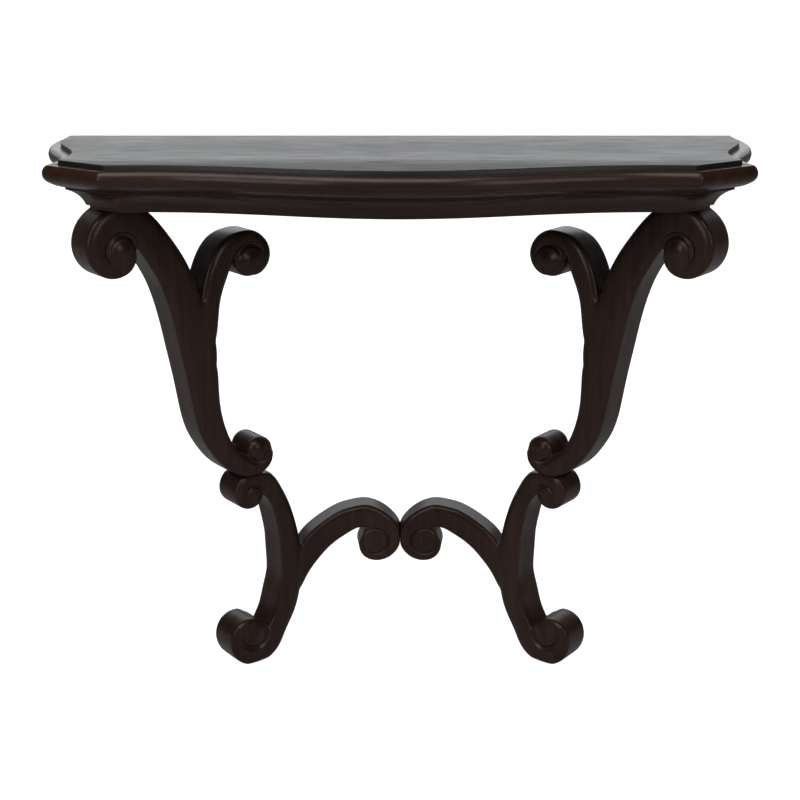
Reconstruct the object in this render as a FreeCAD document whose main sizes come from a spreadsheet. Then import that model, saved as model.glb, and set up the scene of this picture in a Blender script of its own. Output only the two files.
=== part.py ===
"""Pier table: a bow-fronted top with canted corners on two pairs of scroll legs.

The table stands on the floor with its back against a wall. X runs along the wall, Y runs
from the front to the wall, Z is up, and the origin is on the floor under the middle of the top.
All lengths are millimetres.
"""
import FreeCAD, Part
import math
import os

from FreeCAD import Placement, Rotation, Vector

doc = FreeCAD.newDocument("PierTable")

UP = Vector(0, 0, 1)
RIGHT = Vector(1, 0, 0)
BACK = Vector(0, 1, 0)

# Driving sizes: alias, value, what it is
SIZES = [
    ("leg_height", 727, "floor to the underside of the apron"),
    ("apron_height", 27, "depth of the cove apron"),
    ("lip_height", 32, "shelf of the lip down to the apron"),
    ("panel_step", 6, "height of the raised panel above the shelf"),
    ("panel_thick", 18, "core of the raised panel"),
    ("veneer_thick", 1, "face veneer on the panel"),
    ("top_depth", 379, "front of the lip to the wall"),
    ("front_half", 370, "middle to the front corner of the panel"),
    ("front_hollow", 318, "middle to the deepest point of the front's hollow"),
    ("front_bow", 52, "how far the middle stands in front of the hollow"),
    ("cant_run", 68.5, "canted corner along the front"),
    ("cant_rise", 50, "canted corner along the side"),
    ("waist_in", 4.5, "narrowest point of the side, inside the canted corner"),
    ("waist_back", 50, "that point behind the canted corner"),
    ("back_straight", 47.4, "straight end of the side at the wall"),
    ("flare_out", 47, "panel's back corner outside the narrowest point"),
    ("shelf_width", 13, "flat shelf round the panel"),
    ("lip_reach", 18, "lip outside the panel's edge"),
    ("nose_height", 21, "rounded nose of the lip"),
    ("toe_height", 29.5, "shelf down to the toe of the lip"),
    ("toe_inset", 6, "toe behind the panel's edge"),
    ("toe_belly", 1.2, "swell of the lip's underside"),
    ("ledge_width", 20, "ledge that carries the panel"),
    ("fillet_inset", 1, "cove behind the toe"),
    ("cove_depth", 22.5, "how far the cove runs in"),
    ("cove_sag", 4, "hollow of the cove"),
    ("bead_inset", 4, "bottom bead behind the cove"),
    ("bead_height", 5, "bottom bead"),
    ("apron_inset", 52, "inner face of the apron behind the panel's edge"),
    ("rail_thick", 19, "back rail"),
    ("wall_hole_dia", 6, "screw holes for the wall"),
    ("wall_hole_spacing", 400, "between the screw holes"),
    ("block_width", 66, "leg block along the front"),
    ("block_depth", 86, "leg block along the side"),
    ("block_height", 30, "leg block"),
    ("glue_gap", 0.3, "block beside a curved apron"),
    ("glue_block_side", 28, "glue block in plan"),
    ("glue_block_height", 25, "glue block"),
    ("leg_angle", 38.2, "plan angle of the legs from the wall, degrees"),
    ("leg_thick", 56, "legs, front to back"),
    ("edge_round", 6, "rounded edges of the scrolls"),
    ("eye_proud", 1.5, "domed eyes above the face"),
    ("eye_bite", 1.5, "how far the band is let into an eye"),
    ("branch_step", 0.6, "faces of the branch behind the faces of the leg"),
    ("groove_width", 2.4, "ring turned into the stretcher's eye"),
    ("stretcher_ring", 500, "plan radius of the stretcher's front face"),
    ("stretcher_set", 21.4, "stretcher's front face at the middle, behind the leg's inner edge"),
    ("stretcher_thick", 47, "stretcher, front to back"),
    ("meeting_flat", 2.1, "rim planed off where the two stretchers meet"),
    ("glide_height", 3, "glide under a foot"),
    ("glide_radius", 11, "glide under a foot"),
    ("nail_dia", 3, "nail of a glide"),
    ("nail_length", 16, "nail of a glide"),
    ("bolt_side", 14.6, "bolt from the outer face of its block"),
    ("bolt_front", 47.5, "bolt from the front face of its block"),
    ("bolt_dia", 8, "hanger bolt"),
    ("bolt_length", 92, "hanger bolt"),
    ("bolt_depth", 50, "hanger bolt inside the leg"),
    ("nut_width", 13, "nut across flats"),
    ("nut_height", 6.5, "nut"),
    ("washer_dia", 18, "washer"),
    ("washer_height", 1.6, "washer"),
    ("dowel_dia", 10, "dowels in the leg and stretcher joints"),
    ("dowel_length", 40, "dowels in the leg and stretcher joints"),
    ("slim_dowel_dia", 8, "dowels in the side joints of a leg"),
    ("slim_dowel_length", 38, "dowels in the side joints of a leg"),
    ("dowel_spacing", 22, "between the dowels of a joint"),
    ("screw_dia", 4.5, "screws up into the panel"),
    ("screw_length", 34, "screws up into the panel"),
    ("screw_head_dia", 9, "screws up into the panel"),
    ("screw_head_height", 3, "screws up into the panel"),
    ("hole_clearance", 0.1, "round every dowel, bolt and screw"),
    ("overrun", 60, "how far cutting shapes run past what they cut"),
]

sheet = doc.addObject("Spreadsheet::Sheet", "Sizes")
for row, (alias, value, note) in enumerate(SIZES, start=1):
    sheet.set(f"A{row}", note)
    sheet.set(f"B{row}", str(value))
    sheet.setAlias(f"B{row}", alias)
doc.recompute()


def size(alias):
    """One driving size, read from the sheet."""
    return float(sheet.get(alias))


# Heights that follow from the driving sizes
apron_bottom = size("leg_height")
lip_bottom = apron_bottom + size("apron_height")
shelf_top = lip_bottom + size("lip_height")
table_top = shelf_top + size("panel_step")
panel_top = table_top - size("veneer_thick")
panel_bottom = panel_top - size("panel_thick")
block_top = apron_bottom + size("block_height")

# Plan lines that follow from the driving sizes
wall_line = size("top_depth") / 2
panel_front = -wall_line + size("lip_reach")
waist_half = size("front_half") + size("cant_run") - size("waist_in")
back_half = waist_half + size("flare_out")


def feature(label, shape, placement=None):
    """A document object that carries a shape made here, named by its label."""
    obj = doc.addObject("Part::Feature", label)
    obj.Label = label
    obj.Shape = shape
    if placement is not None:
        obj.Placement = placement
    return obj


def mirrored(label, source):
    """The right-hand twin of a left-hand piece."""
    obj = doc.addObject("Part::Mirroring", label)
    obj.Label = label
    obj.Source = source
    obj.Normal = RIGHT
    return obj


def group(label, members):
    """Identical fasteners kept as one node of separate solids."""
    obj = doc.addObject("Part::Compound", label)
    obj.Label = label
    obj.Links = members
    return obj


def rod(label, radius, length, placement):
    """A cylinder along its own Z whose radius and length are expressions on the sheet."""
    obj = doc.addObject("Part::Cylinder", label)
    obj.Label = label
    obj.setExpression("Radius", radius)
    obj.setExpression("Height", length)
    obj.Placement = placement
    return obj


def cut(label, base, tool):
    """A piece with something taken out of it."""
    obj = doc.addObject("Part::Cut", label)
    obj.Label = label
    obj.Base = base
    obj.Tool = tool
    return obj


def fused(label, base, tool):
    """Two shapes made in one piece."""
    obj = doc.addObject("Part::Fuse", label)
    obj.Label = label
    obj.Base = base
    obj.Tool = tool
    return obj


# Plan of the raised panel

def front_line(x):
    """Y of the panel's front edge: a bow in the middle between two hollows."""
    wave = 1 - math.cos(math.pi * x / size("front_hollow"))
    return panel_front + size("front_bow") / 2 * wave


def front_points():
    """Points along the front edge, from left to right."""
    count = 16
    shares = [2 * i / count - 1 for i in range(count + 1)]
    places = [size("front_half") * share for share in shares]
    return [Vector(x, front_line(x), 0) for x in places]


def flipped(point):
    """The point's twin on the right-hand side."""
    return Vector(-point.x, point.y, point.z)


corner = Vector(-size("front_half"), front_line(size("front_half")), 0)
cant_end = corner + Vector(-size("cant_run"), size("cant_rise"), 0)
waist_line = cant_end.y + size("waist_back")
flare_run = wall_line - size("back_straight") - waist_line
flare_end = Vector(-back_half, waist_line + flare_run, 0)
wall_corner = Vector(-back_half, wall_line, 0)


def side_points():
    """Points along the left edge, from the end of the flare forward to the canted corner."""
    count = 6
    points = []
    for i in range(count, -1, -1):
        out = size("flare_out") / 2 * (1 - math.cos(math.pi * i / count))
        points.append(Vector(-waist_half - out, waist_line + flare_run * i / count, 0))
    return points + [cant_end]


def spline(points):
    """One smooth curve through the points."""
    curve = Part.BSplineCurve()
    curve.interpolate(points)
    return curve


side_curve = spline(side_points())
cant_curve = Part.LineSegment(cant_end, corner)
front_curve = spline(front_points())
wall_curve = Part.LineSegment(wall_corner, flare_end)

# The left-hand edges and the front, each as the curves it is made of
EDGES = {
    "side_left": [wall_curve, side_curve],
    "cant_left": [cant_curve],
    "front": [front_curve],
}


def panel_outline():
    """The closed plan of the panel."""
    right = [flipped(p) for p in reversed(side_points())]
    return [
        wall_curve,
        side_curve,
        cant_curve,
        front_curve,
        Part.LineSegment(flipped(corner), flipped(cant_end)),
        spline(right),
        Part.LineSegment(flipped(flare_end), flipped(wall_corner)),
        Part.LineSegment(flipped(wall_corner), wall_corner),
    ]


def polygon(points):
    """The closed plan through a ring of corners."""
    return [Part.LineSegment(a, b) for a, b in zip(points, points[1:] + points[:1])]


def plan_body(label, curves, length, bottom):
    """A body padded up from a closed plan, by a length on the sheet."""
    body = doc.addObject("PartDesign::Body", label)
    body.Label = label
    plane = next(f for f in body.Origin.OriginFeatures if f.Role == "XY_Plane")
    sketch = body.newObject("Sketcher::SketchObject", label + "_plan")
    sketch.AttachmentSupport = [(plane, "")]
    sketch.MapMode = "FlatFace"
    sketch.addGeometry(curves, False)
    pad = body.newObject("PartDesign::Pad", label + "_pad")
    pad.Profile = sketch
    pad.setExpression("Length", "Sizes." + length)
    body.Placement = Placement(Vector(0, 0, bottom), Rotation())
    doc.recompute()
    return body


# Mouldings: a profile run along an edge of the panel and mitred at the corners

def inward(tangent):
    """The inward normal of an edge that runs from the left wall corner round the front."""
    return Vector(-tangent.y, tangent.x, 0).normalize()


def end_tangents(curves):
    """Unit tangents where a run of curves starts and ends."""
    first = curves[0].toShape()
    last = curves[-1].toShape()
    return first.tangentAt(first.FirstParameter), last.tangentAt(last.LastParameter)


def mitre_direction(before, after):
    """From a corner inward, per unit of inset, along the line where two mouldings meet."""
    first = inward(end_tangents(before)[1])
    second = inward(end_tangents(after)[0])
    return (first + second) * (1 / (1 + first.dot(second)))


front_mitre = mitre_direction(EDGES["cant_left"], EDGES["front"])
side_mitre = mitre_direction(EDGES["side_left"], EDGES["cant_left"])

# The cuts that end each moulding
CUTS = {
    "side_left": (RIGHT, side_mitre),
    "cant_left": (side_mitre, front_mitre),
    "front": (front_mitre, flipped(front_mitre)),
}


def lip_profile():
    """Lip section: outward distance from the panel's edge, and height."""
    nose_foot = Vector(size("shelf_width"), shelf_top - size("nose_height"), 0)
    nose = Part.Arc(
        Vector(size("shelf_width"), shelf_top, 0),
        Vector(size("lip_reach"), shelf_top - size("nose_height") / 2, 0),
        nose_foot)
    toe = Vector(-size("toe_inset"), shelf_top - size("toe_height"), 0)
    chord = toe - nose_foot
    swell = Vector(-chord.y, chord.x, 0).normalize() * size("toe_belly")
    underside = Part.Arc(nose_foot, (nose_foot + toe) * 0.5 + swell, toe)
    corners = [
        toe,
        Vector(-size("toe_inset"), lip_bottom, 0),
        Vector(-size("ledge_width"), lip_bottom, 0),
        Vector(-size("ledge_width"), panel_bottom, 0),
        Vector(0, panel_bottom, 0),
        Vector(0, shelf_top, 0),
        nose.StartPoint,
    ]
    return [nose, underside] + [Part.LineSegment(a, b) for a, b in zip(corners, corners[1:])]


def apron_profile():
    """Apron section: outward distance from the panel's edge, and height."""
    cove_head = Vector(-size("toe_inset") - size("fillet_inset"), lip_bottom, 0)
    cove_foot = Vector(cove_head.x - size("cove_depth"), apron_bottom + size("bead_height"), 0)
    chord = cove_foot - cove_head
    hollow = Vector(chord.y, -chord.x, 0).normalize() * size("cove_sag")
    cove = Part.Arc(cove_head, (cove_head + cove_foot) * 0.5 + hollow, cove_foot)
    bead = cove_foot.x - size("bead_inset")
    corners = [
        cove_foot,
        Vector(bead, cove_foot.y, 0),
        Vector(bead, apron_bottom, 0),
        Vector(-size("apron_inset"), apron_bottom, 0),
        Vector(-size("apron_inset"), lip_bottom, 0),
        cove_head,
    ]
    return [cove] + [Part.LineSegment(a, b) for a, b in zip(corners, corners[1:])]


def profile_wire(profile, origin, outward):
    """The profile stood upright at a point, facing outward."""
    side = outward.cross(UP)
    matrix = FreeCAD.Matrix(
        outward.x, 0, side.x, origin.x,
        outward.y, 0, side.y, origin.y,
        0, 1, 0, 0,
        0, 0, 0, 1)
    edges = [curve.toShape().transformGeometry(matrix) for curve in profile]
    return Part.Wire(Part.__sortEdges__(edges))


def run_moulding(profile, curves):
    """The profile swept along one edge, running past both of its ends."""
    first, last = end_tangents(curves)
    start = curves[0].StartPoint
    end = curves[-1].EndPoint
    lead_in = Part.LineSegment(start - first * size("overrun"), start)
    lead_out = Part.LineSegment(end, end + last * size("overrun"))
    spine = Part.Wire([curve.toShape() for curve in [lead_in] + curves + [lead_out]])
    section = profile_wire(profile, lead_in.StartPoint, inward(first) * -1)
    return spine.makePipeShell([section], True, False)


def mitre_wedge(curves, start_cut, end_cut):
    """An upright prism between the two cuts that end a moulding."""
    inset = size("apron_inset") + size("overrun") / 2
    outset = size("lip_reach") + size("overrun")
    start = curves[0].StartPoint
    end = curves[-1].EndPoint
    outline = [
        start - start_cut * outset,
        start + start_cut * inset,
        end + end_cut * inset,
        end - end_cut * outset,
    ]
    face = Part.Face(Part.makePolygon(outline + outline[:1]))
    return face.extrude(UP * table_top)


def moulding(prefix, profile):
    """A moulding round the top, as its mitred lengths."""
    pieces = []
    for name, curves in EDGES.items():
        run = run_moulding(profile, curves).common(mitre_wedge(curves, *CUTS[name]))
        piece = feature(prefix + name, run.Solids[0])
        pieces.append(piece)
        if name.endswith("left"):
            pieces.append(mirrored(prefix + name.replace("left", "right"), piece))
    return pieces


nodes = []
nodes += moulding("lip_", lip_profile())
nodes += moulding("apron_", apron_profile())

# Scroll legs. The shares below are of the leg's height: along the leg, inward from its pattern
# line, and up from the floor. Each pair is one section of a band, from edge to edge.

JOINT_SHARE = 0.4237
CREST_RADIUS_SHARE = 0.0303
KNEE_RADIUS_SHARE = 0.029
BRANCH_RADIUS_SHARE = 0.0337
HIP_RADIUS_SHARE = 0.02
FOOT_RADIUS_SHARE = 0.0289

CREST_EYE_SHARES = (-0.2339, 0.9174)
CREST_WIDTH_SHARES = (0.0014, 0.0209, 0.0417, 0.0601, 0.0665)
UPPER_STEM_SHARES = (
    ((-0.144, 0.9514), (-0.2026, 0.9246)),
    ((-0.1162, 0.9117), (-0.1778, 0.8849)),
    ((-0.0914, 0.865), (-0.1559, 0.8432)),
    ((-0.0745, 0.8114), (-0.1375, 0.7866)),
    ((-0.06, 0.7429), (-0.1248, 0.729)),
    ((-0.044, 0.6763), (-0.113, 0.6704)),
    ((-0.0402, 0.6187), (-0.1012, 0.6048)),
    ((-0.0348, 0.5641), (-0.0904, 0.5502)),
    ((-0.0189, 0.5134), (-0.0725, 0.5065)),
    ((0.003, 0.4787), (-0.0457, 0.4668)),
)
KNEE_EYE_SHARES = (0.0487, 0.4744)
KNEE_WIDTH_SHARES = (0.0014, 0.0268, 0.0566)

BRANCH_EYE_SHARES = (0.0392, 0.8695)
BRANCH_WIDTH_SHARES = (0.0014, 0.0185, 0.0285, 0.029)
BRANCH_STEM_SHARES = (
    ((0.004, 0.9232), (0.0139, 0.8935)),
    ((-0.0195, 0.9125), (0.002, 0.8779)),
    ((-0.0418, 0.8875), (-0.0045, 0.8581)),
    ((-0.0605, 0.8468), (-0.017, 0.8293)),
    ((-0.0745, 0.7836), (-0.031, 0.7866)),
    ((-0.0755, 0.722), (-0.0408, 0.726)),
    ((-0.064, 0.6674), (-0.0422, 0.6714)),
    ((-0.057, 0.6187), (-0.0478, 0.6217)),
)

HIP_EYE_SHARES = (0.0296, 0.3851)
HIP_WIDTH_SHARES = (0.0014, 0.0138, 0.025, 0.0312, 0.044)
LOWER_STEM_SHARES = (
    ((0.0953, 0.3903), (0.0526, 0.3794)),
    ((0.1132, 0.3536), (0.0705, 0.3536)),
    ((0.1281, 0.3108), (0.0844, 0.3079)),
    ((0.139, 0.2642), (0.0924, 0.2642)),
    ((0.144, 0.2205), (0.0943, 0.2205)),
    ((0.144, 0.1788), (0.0948, 0.1788)),
    ((0.138, 0.138), (0.0848, 0.142)),
    ((0.1241, 0.0963), (0.0715, 0.1003)),
)
FOOT_EYE_SHARES = (0.024, 0.0694)
FOOT_WIDTH_SHARES = (0.0014, 0.0305, 0.0425, 0.0485, 0.0633)

# Places of the joints along a leg, as the same shares
BOLT_SHARE = -0.2064
LEG_DOWEL_SHARE = 0.0344
BRANCH_DOWEL_SHARES = (-0.075, 0.7677)
GLIDE_SHARE = 0.0275

# The leg's inner edge and the height of the stretcher's eye, as the same shares
LEG_EDGE_SHARE = 0.144
STRETCHER_EYE_SHARE = 0.2387

# The stretcher, as shares of the reach from the middle of the table to the leg: along its front
# face, and up from the height of its eye.
STRETCHER_RADIUS_SHARE = 0.1471
STRETCHER_DOWEL_SHARE = -0.195
STRETCHER_WIDTH_SHARES = (0.005, 0.085, 0.12, 0.175, 0.5)
STRETCHER_STEM_SHARES = (
    ((-0.314, 0.391), (-0.287, 0.1447)),
    ((-0.441, 0.388), (-0.408, 0.1495)),
    ((-0.588, 0.353), (-0.528, 0.0941)),
    ((-0.749, 0.266), (-0.655, 0.0115)),
    ((-0.876, 0.172), (-0.762, -0.0857)),
    ((-0.976, 0.0634), (-0.856, -0.1975)),
    ((-1.049, -0.1166), (-0.954, -0.345)),
    ((-1.11, -0.3866), (-1.052, -0.51)),
)
MEETING_TURN = 200.0

# The ring turned into the stretcher's eye, as a share of the eye's radius
GROOVE_SHARE = 0.9

# The sharpest rounding of a narrow band, and the dome of an eye, as shares of their widths
ROUND_SHARE = 0.4
DOME_SHARE = 0.4


def of_leg(share):
    """A share of the leg's height."""
    return share * size("leg_height")


def along_leg(shares):
    """A place on the face of a leg, from its shares of the leg's height."""
    return Vector(of_leg(shares[0]), 0, of_leg(shares[1]))


def width_at(turned, widths):
    """Width of a scroll's band, between the widths given at its quarter turns."""
    quarter = min(int(turned // 90), len(widths) - 2)
    rest = turned / 90 - quarter
    return widths[quarter] * (1 - rest) + widths[quarter + 1] * rest


def leg_volute(centre, radius, tip, sense, sweep, width_shares):
    """A volute whose widths are shares of the leg's height."""
    return volute(centre, radius, tip, sense, sweep, [of_leg(share) for share in width_shares])


def volute(centre, eye_radius, tip, sense, sweep, widths):
    """Sections of a band wound round an eye, from its tip: pairs of outer and inner points."""
    count = math.ceil(sweep / 30)
    sections = []
    for i in range(count + 1):
        turned = sweep * i / count
        angle = math.radians(tip + sense * turned)
        ray = Vector(math.cos(angle), 0, math.sin(angle))
        inner = eye_radius - size("eye_bite")
        outer = inner + width_at(turned, widths)
        sections.append((centre + ray * outer, centre + ray * inner))
    return sections


def stem(table):
    """Sections of a band on the face of a leg."""
    return [(along_leg(first), along_leg(second)) for first, second in table]


def swapped(sections):
    """The same sections with their two edges exchanged."""
    return [(second, first) for first, second in sections]


def flat_frame(point):
    """Place, direction along the face and direction through it, on a flat leg."""
    return point, RIGHT, BACK


def stepped_frame(point):
    """The same on the branch, whose faces lie behind the leg's."""
    return point + BACK * size("branch_step"), RIGHT, BACK


def rounded_section(first, second, thick, frame):
    """A closed wire across a band: a rectangle with rounded corners."""
    origin, along, through = frame((first + second) * 0.5)
    span = second - first
    across = along * span.x + UP * span.z
    width = across.Length
    across.normalize()
    radius = min(size("edge_round"), ROUND_SHARE * width)
    edge = width / 2
    bend = radius * (1 - math.sqrt(0.5))

    def spot(u, v):
        return origin + across * u + through * v

    def side(u_from, v_from, u_to, v_to):
        return Part.LineSegment(spot(u_from, v_from), spot(u_to, v_to)).toShape()

    def turn(u_from, v_from, u_mid, v_mid, u_to, v_to):
        return Part.Arc(spot(u_from, v_from), spot(u_mid, v_mid), spot(u_to, v_to)).toShape()

    return Part.Wire([
        side(radius - edge, 0, edge - radius, 0),
        turn(edge - radius, 0, edge - bend, bend, edge, radius),
        side(edge, radius, edge, thick - radius),
        turn(edge, thick - radius, edge - bend, thick - bend, edge - radius, thick),
        side(edge - radius, thick, radius - edge, thick),
        turn(radius - edge, thick, bend - edge, thick - bend, -edge, thick - radius),
        side(-edge, thick - radius, -edge, radius),
        turn(-edge, radius, bend - edge, bend, radius - edge, 0),
    ])


def band(sections, thick, frame):
    """A scroll's band: one smooth solid through its sections."""
    wires = [rounded_section(first, second, thick, frame) for first, second in sections]
    return Part.makeLoft(wires, True, False)


def domed_eye(centre, radius):
    """The round eye of a scroll, a little proud of both faces and domed."""
    length = size("leg_thick") + 2 * size("eye_proud")
    disc = Part.makeCylinder(radius, length, centre - BACK * size("eye_proud"), BACK)
    rims = [e for e in disc.Edges if isinstance(e.Curve, Part.Circle)]
    return disc.makeFillet(DOME_SHARE * radius, rims)


def below(shape, height):
    """What lies below a height."""
    return shape.cut(slab(height, table_top))


def above(shape, height):
    """What lies above a height."""
    return shape.cut(slab(-size("overrun"), height))


def slab(bottom, top):
    """A block wider than the table between two heights."""
    width = 4 * back_half
    return Part.makeBox(width, width, top - bottom, Vector(-width / 2, -width / 2, bottom))


def hole(start, direction, length, diameter):
    """A round hole with the usual clearance."""
    return Part.makeCylinder(diameter / 2 + size("hole_clearance"), length, start, direction)


def paired(start, depth):
    """Two places beside each other, half the dowels' spacing either way of a depth into a leg."""
    return [start + BACK * (depth + size("dowel_spacing") / 2 * way) for way in (-1, 1)]


def side_holes(starts):
    """Holes for the dowels in a side joint of a leg."""
    return [hole(p, RIGHT, size("slim_dowel_length"), size("slim_dowel_dia")) for p in starts]


# Places of the joints in the leg's own frame
leg_middle = size("leg_thick") / 2
joint_height = of_leg(JOINT_SHARE)
leg_dowel_starts = paired(
    Vector(of_leg(LEG_DOWEL_SHARE), 0, joint_height - size("dowel_length") / 2), leg_middle)
branch_dowel_starts = paired(
    along_leg(BRANCH_DOWEL_SHARES) - RIGHT * size("slim_dowel_length") / 2, leg_middle)
bolt_start = Vector(of_leg(BOLT_SHARE), leg_middle, size("leg_height") - size("bolt_depth"))
glide_centre = Vector(of_leg(GLIDE_SHARE), leg_middle, 0)

leg_dowel_holes = [hole(p, UP, size("dowel_length"), size("dowel_dia")) for p in leg_dowel_starts]
branch_dowel_holes = side_holes(branch_dowel_starts)

# The leg blocks behind the canted corners, and the legs under them
block_left = -(waist_half - size("apron_inset") - size("glue_gap"))
block_front = panel_front + size("front_bow") + size("apron_inset") + size("glue_gap")
bolt_place = Vector(block_left + size("bolt_side"), block_front + size("bolt_front"), 0)
leg_turn = Rotation(UP, size("leg_angle"))
leg_base = bolt_place - leg_turn.multVec(Vector(bolt_start.x, bolt_start.y, 0))
leg_place = Placement(leg_base, leg_turn)

# The stretcher is bent in plan round an upright axis in front of the table
leg_edge = leg_place.multVec(Vector(of_leg(LEG_EDGE_SHARE), 0, 0))
stretcher_reach = -leg_edge.x
stretcher_eye_height = of_leg(STRETCHER_EYE_SHARE)
ring_axis = Vector(0, leg_edge.y + size("stretcher_set") - size("stretcher_ring"), 0)


def stretcher_depth():
    """Depth into the leg of the middle of the stretcher, halfway along a dowel's free end."""
    free_end = leg_turn.multVec(RIGHT) * size("slim_dowel_length") / 4
    out = leg_edge + free_end - ring_axis
    missing = size("stretcher_ring") + size("stretcher_thick") / 2 - out.Length
    return missing / out.normalize().dot(leg_turn.multVec(BACK))


stretcher_dowel_starts = paired(
    Vector(
        of_leg(LEG_EDGE_SHARE) - size("slim_dowel_length") / 2, 0,
        stretcher_eye_height + STRETCHER_DOWEL_SHARE * stretcher_reach),
    stretcher_depth())
stretcher_dowel_holes = side_holes(stretcher_dowel_starts)


def upper_scroll_shape():
    """The S-scroll between the apron and the lower leg, in the leg's frame."""
    crest = along_leg(CREST_EYE_SHARES)
    crest_radius = of_leg(CREST_RADIUS_SHARE)
    knee = along_leg(KNEE_EYE_SHARES)
    knee_radius = of_leg(KNEE_RADIUS_SHARE)
    sections = leg_volute(crest, crest_radius, -12, -1, 300, CREST_WIDTH_SHARES)
    sections += stem(UPPER_STEM_SHARES)
    sections += swapped(reversed(leg_volute(knee, knee_radius, -6, -1, 140, KNEE_WIDTH_SHARES)))
    solid = band(sections, size("leg_thick"), flat_frame)
    solid = solid.fuse([domed_eye(crest, crest_radius), domed_eye(knee, knee_radius)])
    return above(below(solid, size("leg_height")), joint_height)


def branch_scroll_shape(upper):
    """The inner branch that springs from the upper scroll, in the leg's frame."""
    eye = along_leg(BRANCH_EYE_SHARES)
    radius = of_leg(BRANCH_RADIUS_SHARE)
    sections = leg_volute(eye, radius, -75, 1, 185, BRANCH_WIDTH_SHARES)
    sections += stem(BRANCH_STEM_SHARES)
    solid = band(sections, size("leg_thick") - 2 * size("branch_step"), stepped_frame)
    solid = solid.fuse(domed_eye(eye, radius))
    return solid.cut(branch_dowel_holes).cut(upper)


def lower_scroll_shape():
    """The C-scroll from the upper leg to the foot, in the leg's frame."""
    hip = along_leg(HIP_EYE_SHARES)
    hip_radius = of_leg(HIP_RADIUS_SHARE)
    foot = along_leg(FOOT_EYE_SHARES)
    foot_radius = of_leg(FOOT_RADIUS_SHARE)
    sections = leg_volute(hip, hip_radius, 0, -1, 330, HIP_WIDTH_SHARES)
    sections += stem(LOWER_STEM_SHARES)
    sections += reversed(leg_volute(foot, foot_radius, 72, 1, 273, FOOT_WIDTH_SHARES))
    solid = band(sections, size("leg_thick"), flat_frame)
    solid = solid.fuse([domed_eye(hip, hip_radius), domed_eye(foot, foot_radius)])
    return above(below(solid, joint_height), size("glide_height"))


def only_solid(shape):
    """The largest solid of a cut shape."""
    return max(shape.Solids, key=lambda solid: solid.Volume)


def in_leg(shape):
    """A shape of the leg's frame, set where the left leg stands."""
    return shape.transformGeometry(leg_place.toMatrix())


upper_plain = only_solid(upper_scroll_shape())
branch_plain = only_solid(branch_scroll_shape(upper_plain))
lower_plain = only_solid(lower_scroll_shape())


def ring_frame(point):
    """Place, direction along the face and direction through it, on the bent stretcher."""
    angle = math.asin(point.x / size("stretcher_ring"))
    through = Vector(math.sin(angle), math.cos(angle), 0)
    along = Vector(math.cos(angle), -math.sin(angle), 0)
    return ring_axis + through * size("stretcher_ring") + UP * point.z, along, through


def stretcher_shape():
    """The left stretcher, from the leg to the middle of the table."""
    radius = STRETCHER_RADIUS_SHARE * stretcher_reach
    widths = [share * stretcher_reach for share in STRETCHER_WIDTH_SHARES]
    rim = radius - size("eye_bite") + width_at(MEETING_TURN, widths)
    eye = Vector(size("meeting_flat") - rim, 0, stretcher_eye_height)
    sections = volute(eye, radius, 160, 1, 280, widths)
    for pair in STRETCHER_STEM_SHARES:
        sections.append(tuple(
            Vector(along, 0, up) * stretcher_reach + UP * stretcher_eye_height for along, up in pair))
    solid = band(sections, size("stretcher_thick"), ring_frame)
    origin, _, through = ring_frame(eye)
    spread = 1 + size("stretcher_thick") / size("stretcher_ring")
    disc = Part.makeCone(radius, spread * radius, size("stretcher_thick"), origin, through)
    groove = Part.makeTorus(GROOVE_SHARE * radius, size("groove_width") / 2, origin, through)
    solid = solid.fuse(disc).cut(groove)
    far_half = Part.makeBox(
        2 * back_half, 2 * back_half, table_top, Vector(0, -back_half, 0))
    return solid.cut(far_half).cut(in_leg(lower_plain))


stretcher_plain = stretcher_shape()
stretcher_middle = ring_axis.y + size("stretcher_ring") + size("stretcher_thick") / 2
centre_place = Vector(0, stretcher_middle, stretcher_eye_height)
centre_hole = hole(
    centre_place - RIGHT * size("dowel_length") / 2, RIGHT, size("dowel_length"), size("dowel_dia"))
bolt_hole = hole(bolt_start, UP, size("bolt_length"), size("bolt_dia"))
nail_hole = hole(glide_centre, UP, size("glide_height") + size("nail_length"), size("nail_dia"))


def bored(shape, holes):
    """A scroll with its holes, as one solid."""
    return only_solid(shape.cut(holes))


upper_holes = leg_dowel_holes + branch_dowel_holes + [bolt_hole]
lower_holes = leg_dowel_holes + stretcher_dowel_holes + [nail_hole]
stretcher_holes = [in_leg(each) for each in stretcher_dowel_holes] + [centre_hole]
upper_left = feature("upper_scroll_left", bored(upper_plain, upper_holes), leg_place)
branch_left = feature("branch_scroll_left", branch_plain, leg_place)
lower_left = feature("lower_scroll_left", bored(lower_plain, lower_holes), leg_place)
stretcher_left = feature("stretcher_left", bored(stretcher_plain, stretcher_holes))
for piece in (upper_left, branch_left, lower_left, stretcher_left):
    nodes += [piece, mirrored(piece.Label.replace("left", "right"), piece)]


# Panel, back rail and blocks

def crossing_at(x=None, y=None):
    """Where the inner face of the canted apron crosses a line of the plan."""
    start = corner + front_mitre * size("apron_inset")
    run = cant_end + side_mitre * size("apron_inset") - start
    share = (x - start.x) / run.x if y is None else (y - start.y) / run.y
    return start + run * share


block_right = block_left + size("block_width")
block_back = block_front + size("block_depth")
block_blank = plan_body("block_blank", polygon([
    crossing_at(y=block_front),
    crossing_at(x=block_left),
    Vector(block_left, block_back, 0),
    Vector(block_right, block_back, 0),
    Vector(block_right, block_front, 0),
]), "block_height", apron_bottom)
bolt_bore = rod(
    "bolt_bore", "Sizes.bolt_dia / 2 + Sizes.hole_clearance", "Sizes.bolt_length",
    Placement(bolt_place + UP * bolt_start.z, Rotation()))
block = cut("corner_block_left", block_blank, bolt_bore)
nodes += [block, mirrored("corner_block_right", block)]

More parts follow.
